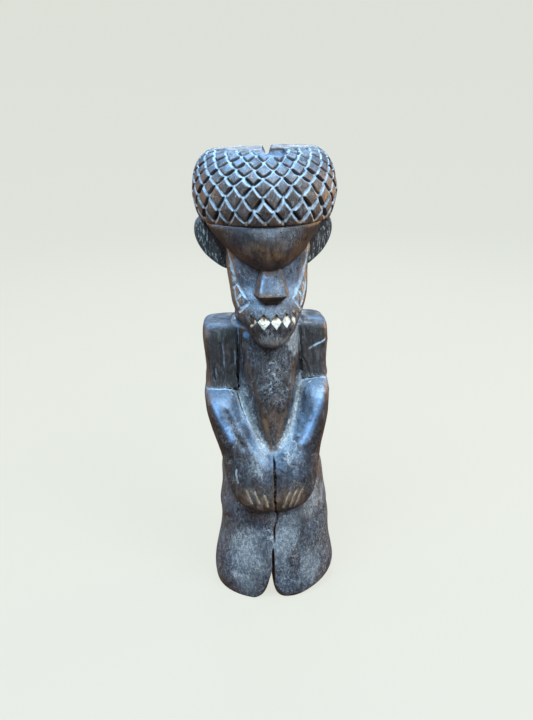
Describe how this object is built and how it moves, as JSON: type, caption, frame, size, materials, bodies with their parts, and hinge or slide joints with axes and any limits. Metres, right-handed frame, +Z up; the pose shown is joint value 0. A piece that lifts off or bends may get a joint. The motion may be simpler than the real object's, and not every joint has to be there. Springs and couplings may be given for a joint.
{
  "type": "carved ancestor figure",
  "caption": "Standing ancestor figure carved from one log, with a cross-cut dome of hair, an overhanging brow, a saw-tooth mouth and hands laid together on the belly, on a flat-cut base.",
  "frame": {"origin": "middle of the underside of the overall box, between the two feet", "axes": "+Z up, the figure faces -Y, its own left side is +X"},
  "size_m": [0.136, 0.1323, 0.45],
  "materials": {
    "dark_wood": "dark oiled hardwood, blue-black with brown worn edges, semi-gloss patina, pale dust in the cuts",
    "rough_wood": "dark hardwood left rough, upright grain, dull on the cut faces and polished by handling on the edges",
    "white_filler": "white clay filler, matt, yellowed and chipped"
  },
  "bodies": {
    "root": {"face": "dark_wood", "forehead": "dark_wood", "hair_cap": "dark_wood", "hips": "dark_wood", "left_ear": "rough_wood", "left_forearm": "dark_wood", "left_hand": "dark_wood", "left_leg": "dark_wood", "left_upper_arm": "rough_wood", "mouth_filler_1": "white_filler", "mouth_filler_2": "white_filler", "mouth_filler_3": "white_filler", "mouth_filler_4": "white_filler", "mouth_filler_5": "white_filler", "nose": "dark_wood", "right_ear": "rough_wood", "right_forearm": "dark_wood", "right_hand": "dark_wood", "right_leg": "dark_wood", "right_upper_arm": "rough_wood", "skull_and_neck": "dark_wood", "torso": "dark_wood"}
  },
  "joints": []
}
